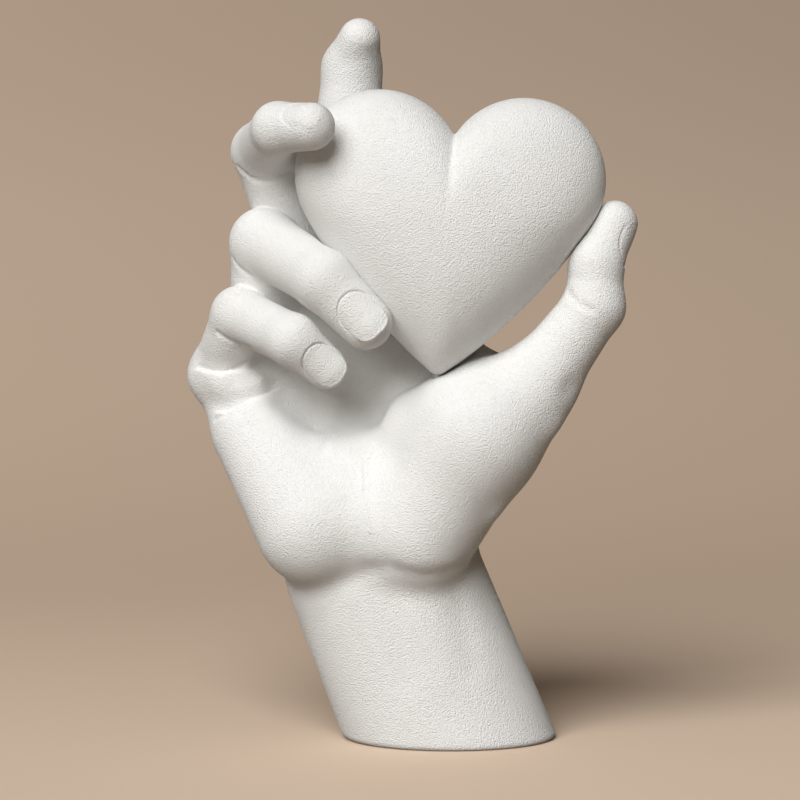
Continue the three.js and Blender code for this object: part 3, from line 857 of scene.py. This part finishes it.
# %% Mesh pieces
def mesh_object(name, points, faces):
    """A smooth-shaded object from places in millimetres."""
    mesh = bpy.data.meshes.new(name)
    size = faces.shape[1]
    mesh.vertices.add(len(points))
    mesh.vertices.foreach_set("co", (points * MM).astype(np.float32).ravel())
    mesh.loops.add(faces.size)
    mesh.loops.foreach_set("vertex_index", faces.astype(np.int32).ravel())
    mesh.polygons.add(len(faces))
    mesh.polygons.foreach_set("loop_start", np.arange(0, faces.size, size, dtype=np.int32))
    mesh.update(calc_edges=True)
    mesh.validate()
    mesh.polygons.foreach_set("use_smooth", np.ones(len(mesh.polygons), bool))
    piece = bpy.data.objects.new(name, mesh)
    scene.collection.objects.link(piece)
    return piece


def refined(piece, form, wanted, most_edge):
    """Halves the longer edges where the detail is fine, and pulls the new corners onto the form."""
    net = bmesh.new()
    net.from_mesh(piece.data)
    places = np.array([corner.co for corner in net.verts]) / MM
    chosen = wanted(places)
    net.verts.ensure_lookup_table()
    edges = [
        edge for edge in net.edges
        if chosen[edge.verts[0].index] and chosen[edge.verts[1].index]
        and edge.calc_length() > most_edge * MM
    ]
    known = len(net.verts)
    bmesh.ops.subdivide_edges(net, edges=edges, cuts=1, use_grid_fill=True)
    bmesh.ops.triangulate(net, faces=[face for face in net.faces if len(face.verts) > 4])
    net.verts.index_update()
    net.verts.ensure_lookup_table()
    new = net.verts[known:]
    if new:
        moved = np.array([corner.co for corner in new]) / MM
        for _ in range(PULLS):
            moved = pulled_onto(form, moved, most_edge)
        for corner, place in zip(new, moved):
            corner.co = place * MM
    for face in net.faces:
        face.smooth = True
    net.to_mesh(piece.data)
    net.free()
    print(f"{piece.name}: {len(new)} more corners where detail is finer than {2 * most_edge} mm")


def triangle_count(piece):
    piece.data.calc_loop_triangles()
    return len(piece.data.loop_triangles)


def settle(piece):
    """Turns what the piece's modifiers give into its own plain mesh."""
    graph = bpy.context.evaluated_depsgraph_get()
    mesh = bpy.data.meshes.new_from_object(piece.evaluated_get(graph))
    piece.modifiers.clear()
    piece.data = mesh
    mesh.polygons.foreach_set("use_smooth", np.ones(len(mesh.polygons), bool))


def thinned(piece, most):
    """Collapses short edges where the skin is plain, until at most that many triangles are left."""
    count = triangle_count(piece)
    if count <= most:
        return
    modifier = piece.modifiers.new("thin", "DECIMATE")
    modifier.ratio = most / count
    settle(piece)


# %% Hand skin
HAND_CELL = 0.55
HAND_TRIANGLES = 190000
SPARE = 3  # room around the hand for the grid
FLAT_BELOW = 0.02  # corners lower than this lie on the floor
NAIL_BAND = 0.3  # finer faces this far from a nail's oval, as a share of its size
NAIL_AROUND = 1.5  # and no farther from its middle, in half lengths
CREASE_BAND = 2.2  # finer faces this far from a crease, in its widths
CREASE_EDGE = 0.3
NAIL_EDGE = 0.18

hand_low, hand_high = (np.array(corner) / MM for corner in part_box("hand_casting"))
points, faces = net_over(casting, hand_low - SPARE, hand_high + SPARE, HAND_CELL)
points[:, 2] = np.where(points[:, 2] < FLAT_BELOW, 0, points[:, 2])
hand = mesh_object("hand_skin", points, faces)


def near_nails(places):
    close = np.zeros(len(places), bool)
    for name, (origin, along, across, _) in nail_frames.items():
        half_length, half_width = NAILS[name]["half"]
        offset = places - origin
        oval = np.hypot(offset @ along / half_length, offset @ across / half_width)
        around = np.linalg.norm(offset, axis=1) < NAIL_AROUND * half_length
        close |= (np.abs(oval - 1) < NAIL_BAND) & around
    return close


def near_creases(places):
    close = near_nails(places)
    for crease in CREASES:
        close |= from_path(places, crease["path"])[0] < CREASE_BAND * crease["width"]
    return close


refined(hand, casting, near_creases, CREASE_EDGE)
refined(hand, casting, near_nails, NAIL_EDGE)
thinned(hand, HAND_TRIANGLES)
print("hand skin:", triangle_count(hand), "triangles")

# %% [markdown]
# ## Finishes
#
# Cast stone with a sand texture is matt and nearly white. The grain is far too fine to model, so it
# is a bump: noise at about half a millimetre, with finer noise on top. All patterns are worked out
# from Object coordinates, in real sizes, so that they don't slide or stretch.

# %% Material helpers
def linear(hex_colour):
    """Linear RGBA from an sRGB colour such as F1EEE9."""
    channels = [int(hex_colour[i:i + 2], 16) / 255 for i in (0, 2, 4)]
    return [c / 12.92 if c <= 0.04045 else ((c + 0.055) / 1.055) ** 2.4 for c in channels] + [1]


def new_material(name):
    """A material with only its Principled shader and output, and that shader."""
    material = bpy.data.materials.new(name)
    material.use_nodes = True
    return material, material.node_tree.nodes["Principled BSDF"]


def add_node(owner, kind, settings=None, values=(), **inputs):
    """Adds a node to a tree, or to a material's, and fills its inputs by place or by name.

    A socket is linked, and anything else becomes the input's own value.
    """
    tree = getattr(owner, "node_tree", owner)
    node = tree.nodes.new(kind)
    for key, value in (settings or {}).items():
        setattr(node, key, value)
    named = [(key.replace("_", " "), value) for key, value in inputs.items()]
    for key, value in [*enumerate(values), *named]:
        socket = node.inputs[key]
        if isinstance(value, bpy.types.NodeSocket):
            tree.links.new(value, socket)
        else:
            socket.default_value = value
    return node


def noise(material, size_mm, detail, roughness=0.5):
    """Noise whose features are about that many millimetres across."""
    pattern = add_node(
        material, "ShaderNodeTexNoise",
        Vector=add_node(material, "ShaderNodeTexCoord").outputs["Object"],
        Scale=1 / (size_mm * MM), Detail=detail, Roughness=roughness,
    )
    return pattern.outputs["Fac"]


def bumped(material, shader, heights):
    """Stacks bumps, each a pattern and its height in millimetres, on the shader."""
    normal = None
    for pattern, height_mm in heights:
        node = add_node(
            material, "ShaderNodeBump", Height=pattern, Strength=1.0, Distance=height_mm * MM
        )
        if normal:
            material.node_tree.links.new(normal, node.inputs["Normal"])
        normal = node.outputs["Normal"]
    material.node_tree.links.new(normal, shader.inputs["Normal"])


def between(material, pattern, low_colour, high_colour, low=0.35, high=0.65):
    """A colour that moves between two as the pattern goes from low to high."""
    ramp = add_node(material, "ShaderNodeValToRGB", Fac=pattern)
    ends = zip(ramp.color_ramp.elements, (low, high), (low_colour, high_colour))
    for element, position, colour in ends:
        element.position = position
        element.color = linear(colour)
    return ramp.outputs["Color"]


# %% Cast stone
GRAIN_SIZE = 0.45
GRAIN_HEIGHT = 0.55
FINE_GRAIN_SIZE = 0.3
FINE_GRAIN_HEIGHT = 0.12
CLOUD_SIZE = 30  # the cast's colour is a little uneven over this many millimetres

cast_stone, shader = new_material("sand_textured_cast_stone")
shader.inputs["Roughness"].default_value = 0.92
shader.inputs["Specular IOR Level"].default_value = 0.25
grain = noise(cast_stone, GRAIN_SIZE, 2.0, 0.55)
fine_grain = noise(cast_stone, FINE_GRAIN_SIZE, 1.0)
tone = between(cast_stone, noise(cast_stone, CLOUD_SIZE, 3.0), "F1F1EE", "F5F5F3")
cast_stone.node_tree.links.new(tone, shader.inputs["Base Color"])
bumped(cast_stone, shader, [(grain, GRAIN_HEIGHT), (fine_grain, FINE_GRAIN_HEIGHT)])
print(cast_stone.name, "has", len(cast_stone.node_tree.nodes), "nodes")

# %% [markdown]
# ## The heart's skin
#
# The heart needs no net over a distance, because its shape follows the rule above. Geometry Nodes
# make it: each corner of a round ball is sent to the place that the rule gives for its direction.
# The ball's poles are the middles of the heart's front and back, and its rings crowd at the
# outline, where the surface turns back.
#
# Wiring a formula by hand takes dozens of Math nodes. A small class does it instead: when numpy is
# asked to add, multiply or take a sine of a node number, the class adds the Math node that does
# the same. So the functions of the rule build the tree as they are.

# %% Node numbers
MATH_NODES = {
    np.add: "ADD",
    np.subtract: "SUBTRACT",
    np.multiply: "MULTIPLY",
    np.true_divide: "DIVIDE",
    np.remainder: "FLOORED_MODULO",
    np.power: "POWER",
    np.sqrt: "SQRT",
    np.absolute: "ABSOLUTE",
    np.sign: "SIGN",
    np.minimum: "MINIMUM",
    np.maximum: "MAXIMUM",
    np.less: "LESS_THAN",
    np.greater: "GREATER_THAN",
    np.cos: "COSINE",
    np.sin: "SINE",
    np.arctan2: "ARCTAN2",
}


class NodeNumber(np.lib.mixins.NDArrayOperatorsMixin):
    """A number in a node tree. What numpy does with it becomes a Math node."""

    def __init__(self, tree, socket):
        self.tree = tree
        self.socket = socket

    def __array_ufunc__(self, function, method, *values):
        if function is np.negative:
            return -1.0 * values[0]
        inputs = [
            value.socket if isinstance(value, NodeNumber) else float(value) for value in values
        ]
        node = add_node(self.tree, "ShaderNodeMath", {"operation": MATH_NODES[function]}, inputs)
        return NodeNumber(self.tree, node.outputs[0])


# %% Heart tree
HEART_NET = {"Spokes": 360, "Rings": 152}

heart_tree = bpy.data.node_groups.new("puffy_heart", "GeometryNodeTree")
heart_tree.interface.new_socket("Geometry", in_out="OUTPUT", socket_type="NodeSocketGeometry")
for name in HEART:
    heart_tree.interface.new_socket(name, in_out="INPUT", socket_type="NodeSocketFloat")
for name in HEART_NET:
    heart_tree.interface.new_socket(name, in_out="INPUT", socket_type="NodeSocketInt")
given = add_node(heart_tree, "NodeGroupInput").outputs
size = {name: NodeNumber(heart_tree, given[name]) for name in HEART}

ball = add_node(
    heart_tree, "GeometryNodeMeshUVSphere",
    Segments=given["Spokes"], Rings=given["Rings"], Radius=1.0,
)
corner = add_node(heart_tree, "GeometryNodeInputPosition").outputs["Position"]
parts = add_node(heart_tree, "ShaderNodeSeparateXYZ", Vector=corner).outputs
across, up, back = (NodeNumber(heart_tree, socket) for socket in parts)

angle = np.arctan2(up, across)
share = np.sqrt(across**2 + up**2)
reach = heart_reach(angle, share, size)
level = heart_level(angle, share, reach, size)
depth = np.sqrt(np.maximum(1 - level ** size["Fullness"], 0)) * size["Half Thickness"]
place = (np.cos(angle) * share * reach, -np.sign(back) * depth, np.sin(angle) * share * reach)
place = add_node(heart_tree, "ShaderNodeCombineXYZ", values=[number.socket for number in place])
moved = add_node(
    heart_tree, "GeometryNodeSetPosition", Geometry=ball.outputs["Mesh"], Position=place.outputs[0]
)
placed = add_node(
    heart_tree, "GeometryNodeTransform", Geometry=moved.outputs[0],
    Translation=tuple(HEART_MIDDLE * MM), Scale=(MM, MM, MM),
)
realized = add_node(heart_tree, "GeometryNodeRealizeInstances", Geometry=placed.outputs[0])
finished = add_node(
    heart_tree, "GeometryNodeSetMaterial", Geometry=realized.outputs[0], Material=cast_stone
)
add_node(heart_tree, "NodeGroupOutput", values=[finished.outputs[0]])
print("heart tree has", len(heart_tree.nodes), "nodes")

# %% Heart skin
heart = bpy.data.objects.new("heart_skin", bpy.data.meshes.new("heart_skin"))
scene.collection.objects.link(heart)
rule = heart.modifiers.new("rule", "NODES")
rule.node_group = heart_tree
for socket in heart_tree.interface.items_tree:
    if socket.in_out == "INPUT":
        rule[socket.identifier] = {**HEART, **HEART_NET}[socket.name]
settle(heart)
print("heart skin:", triangle_count(heart), "triangles")

# %% [markdown]
# ## What is out of sight
#
# The pad under the foot is felt, the plate above it fibreboard, the ballast rough cement, and the
# wires and dowels drawn steel. Only the pad can be seen, from below, so it also gets a rounder
# outline than its CAD solid has.

# %% Hidden finishes
felt, shader = new_material("felt")
shader.inputs["Roughness"].default_value = 1.0
shader.inputs["Sheen Weight"].default_value = 0.3
fibres = noise(felt, 0.6, 4.0, 0.7)
tone = between(felt, fibres, "C9C2B4", "DAD4C8")
felt.node_tree.links.new(tone, shader.inputs["Base Color"])
bumped(felt, shader, [(fibres, 0.3)])

fibreboard, shader = new_material("fibreboard")
shader.inputs["Roughness"].default_value = 0.85
fibres = noise(fibreboard, 1.5, 4.0, 0.6)
tone = between(fibreboard, fibres, "9A7850", "B08D62")
fibreboard.node_tree.links.new(tone, shader.inputs["Base Color"])
bumped(fibreboard, shader, [(fibres, 0.05)])

cement, shader = new_material("rough_cement")
shader.inputs["Roughness"].default_value = 0.95
grit = noise(cement, 2.0, 5.0, 0.6)
tone = between(cement, grit, "86837C", "A3A098")
cement.node_tree.links.new(tone, shader.inputs["Base Color"])
bumped(cement, shader, [(grit, 0.4)])

drawn_steel, shader = new_material("drawn_steel")
shader.inputs["Base Color"].default_value = linear("B9BCC0")
shader.inputs["Metallic"].default_value = 1.0
shader.inputs["Roughness"].default_value = 0.38
bumped(drawn_steel, shader, [(noise(drawn_steel, 0.4, 2.0), 0.01)])

carried = {"felt_pad": felt, "base_plate": fibreboard, "ballast_plug": cement}
for name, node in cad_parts.items():
    if name.endswith(("wire", "dowel")):
        carried[name] = drawn_steel
for name, material in carried.items():
    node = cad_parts[name]
    node.data.materials.clear()
    node.data.materials.append(material)
print("CAD pieces with new finishes:", sorted(carried))


# %% Felt pad outline
PAD_SIDES = 96


def oval_pad(name, node):
    low, high = (np.array(corner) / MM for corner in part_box(node))
    middle = (low + high) / 2
    half = (high - low) / 2
    turns = 2 * math.pi * np.arange(PAD_SIDES) / PAD_SIDES
    rim = np.stack([middle[0] + half[0] * np.cos(turns), middle[1] + half[1] * np.sin(turns)], 1)
    levels = [np.column_stack([rim, np.full(PAD_SIDES, height)]) for height in (low[2], high[2])]
    centres = [[middle[0], middle[1], low[2]], [middle[0], middle[1], high[2]]]
    places = np.concatenate([*levels, centres])
    this = np.arange(PAD_SIDES)
    after = (this + 1) % PAD_SIDES
    top = PAD_SIDES
    bottom_middle = np.full(PAD_SIDES, 2 * PAD_SIDES)
    faces = [
        np.stack([this, after, top + after], 1),
        np.stack([this, top + after, top + this], 1),
        np.stack([bottom_middle, after, this], 1),
        np.stack([bottom_middle + 1, top + this, top + after], 1),
    ]
    pad = mesh_object(name, places, np.concatenate(faces))
    pad.data.polygons.foreach_set("use_smooth", np.zeros(len(pad.data.polygons), bool))
    pad.data.materials.append(felt)
    return pad


felt_underside = oval_pad("felt_underside", "felt_pad")
print("felt pad:", triangle_count(felt_underside), "triangles")

# %% [markdown]
# ## What stands for what
#
# Each fine skin replaces its CAD node on screen. The CAD node stays for collision. Every piece
# rides on the one body, because nothing on a sculpture moves.

# %% Bodies
hand.data.materials.append(cast_stone)
for piece, node, slot in (
    (hand, "hand_casting", "cast_stone"),
    (heart, "heart_casting", "cast_stone"),
    (felt_underside, "felt_pad", "felt"),
):
    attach(piece, "root")
    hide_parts(node)
    print(piece.name, "stands for", node)

# %% [markdown]
# ## Backdrop and light
#
# The sculpture stands on a plain seamless sheet that curves up slowly behind it, so that no line
# shows where floor becomes wall. One large soft light from the left in front, low enough to reach
# under the fingers, models the forms. The world adds very little, so the shadows stay deep.
#
# The sheet shows its full tone only to the camera and to mirror-like rays. To the object it sends
# back a part of that, as a sheet in a large dark room would. Its colour is painted to dim towards
# the back, and on the right behind the object, as painted light falloff.

# %% Backdrop
SHEET_HALF_WIDTH = 3.0
SHEET_FRONT = -1.6
CURVE_START = 0.35
CURVE_RADIUS = 2.5
SHEET_TOP = 3.0
CURVE_STEPS = 24
PAPER_FROM = -0.4
PAPER_TO = 1.6
# how far back, in metres, and the tone there; the two ends come first, as in a new ramp
# painted light falloff: the tones dim from the front towards the back
PAPER_FALLOFF_TONES = [
    (-0.4, "E1CBB5"),
    (1.6, "A4907F"),
    (0.0, "E1CBB5"),
    (0.3, "C6AF99"),
    (0.7, "C6B09B"),
    (1.2, "B6A28F"),
]
RETURNED_SHARE = 0.35  # how much of its tone the paper sends back onto the object
# painted shade: the paper dims to the right, behind the object, as if light fell off there
RIGHT_FALLOFF_SHARE = 0.82  # the paper is a little darker on the right, behind the object
SIDE_REACH = 0.35  # how far to each side that difference builds up
BEHIND_REACH = 0.4  # how far behind the object it has fully set in


def seamless_sheet():
    side = [(SHEET_FRONT, 0.0), (CURVE_START, 0.0)]
    for i in range(1, CURVE_STEPS + 1):
        turn = i / CURVE_STEPS * math.pi / 2
        y = CURVE_START + CURVE_RADIUS * math.sin(turn)
        side.append((y, CURVE_RADIUS * (1 - math.cos(turn))))
    side.append((CURVE_START + CURVE_RADIUS, SHEET_TOP))
    places = np.array([(x, y, z) for y, z in side for x in (-SHEET_HALF_WIDTH, SHEET_HALF_WIDTH)])
    first = 2 * np.arange(len(side) - 1)
    return mesh_object("sheet", places / MM, np.stack([first, first + 1, first + 3, first + 2], 1))


sheet = seamless_sheet()
paper, shader = new_material("seamless_paper_painted_falloff")
shader.inputs["Roughness"].default_value = 0.95
shader.inputs["Specular IOR Level"].default_value = 0.1
place = add_node(paper, "ShaderNodeTexCoord").outputs["Object"]
place = add_node(paper, "ShaderNodeSeparateXYZ", Vector=place)
depth = add_node(
    paper, "ShaderNodeMapRange", Value=place.outputs["Y"], From_Min=PAPER_FROM, From_Max=PAPER_TO
).outputs["Result"]
# painted light falloff: the paper's colour dims from front to back along this ramp
ramp = add_node(paper, "ShaderNodeValToRGB", Fac=depth)
ramp.color_ramp.interpolation = "B_SPLINE"
for i, (y, colour) in enumerate(PAPER_FALLOFF_TONES):
    share = (y - PAPER_FROM) / (PAPER_TO - PAPER_FROM)
    element = ramp.color_ramp.elements[i] if i < 2 else ramp.color_ramp.elements.new(share)
    element.position = share
    element.color = linear(colour)
# painted shade on the right of the paper, behind the object
side = add_node(
    paper, "ShaderNodeMapRange", Value=place.outputs["X"],
    From_Min=-SIDE_REACH, From_Max=SIDE_REACH, To_Min=1, To_Max=RIGHT_FALLOFF_SHARE,
).outputs["Result"]
behind = add_node(
    paper, "ShaderNodeMapRange", Value=place.outputs["Y"],
    From_Min=0, From_Max=BEHIND_REACH, To_Min=0, To_Max=1,
).outputs["Result"]
# mixes that painted shade into the painted falloff from front to back
painted_falloff = add_node(paper, "ShaderNodeMix", {"data_type": "RGBA", "blend_type": "MULTIPLY"})
paper.node_tree.links.new(behind, painted_falloff.inputs["Factor"])
paper.node_tree.links.new(ramp.outputs["Color"], painted_falloff.inputs["A"])
paper.node_tree.links.new(side, painted_falloff.inputs["B"])

rays = add_node(paper, "ShaderNodeLightPath").outputs
seen_by = ("Is Camera Ray", "Is Glossy Ray", "Is Transmission Ray")
looking = sum(NodeNumber(paper, rays[kind]) for kind in seen_by)
amount = add_node(
    paper, "ShaderNodeMapRange", Value=looking.socket, To_Min=RETURNED_SHARE, To_Max=1
).outputs["Result"]
seen_tone = add_node(
    paper, "ShaderNodeVectorMath", {"operation": "SCALE"}, [painted_falloff.outputs["Result"]], Scale=amount
)
paper.node_tree.links.new(seen_tone.outputs[0], shader.inputs["Base Color"])
sheet.data.materials.append(paper)
print(paper.name, "has", len(paper.node_tree.nodes), "nodes")


# %% Lights
SUN_FROM = Vector((-0.29, -0.74, 0.61))
SUN_STRENGTH = 3.5
SUN_SPREAD = math.radians(44)
WORLD_WEAK = 0.01
WORLD_STRONG = 0.08  # in the lamp's direction
WEAK_FACING = -0.5  # facing the lamp is 1, turned away from it is -1

lamp = bpy.data.lights.new("key", "SUN")
lamp.energy = SUN_STRENGTH
lamp.angle = SUN_SPREAD
key = bpy.data.objects.new("key", lamp)
key.rotation_euler = (-SUN_FROM).to_track_quat("-Z", "Y").to_euler()
scene.collection.objects.link(key)

world = bpy.data.worlds.new("studio")
world.use_nodes = True
around = add_node(world, "ShaderNodeTexCoord").outputs["Generated"]
facing = add_node(world, "ShaderNodeVectorMath", {"operation": "DOT_PRODUCT"})
world.node_tree.links.new(around, facing.inputs[0])
facing.inputs[1].default_value = SUN_FROM.normalized()
strength = add_node(
    world, "ShaderNodeMapRange", Value=facing.outputs["Value"], From_Min=WEAK_FACING, From_Max=1,
    To_Min=WORLD_WEAK, To_Max=WORLD_STRONG,
).outputs["Result"]
background = world.node_tree.nodes["Background"]
background.inputs["Color"].default_value = linear("F2DCC2")
world.node_tree.links.new(strength, background.inputs["Strength"])
scene.world = world
scene.view_settings.view_transform = "Standard"
print("key light from", tuple(round(part, 2) for part in SUN_FROM.normalized()))
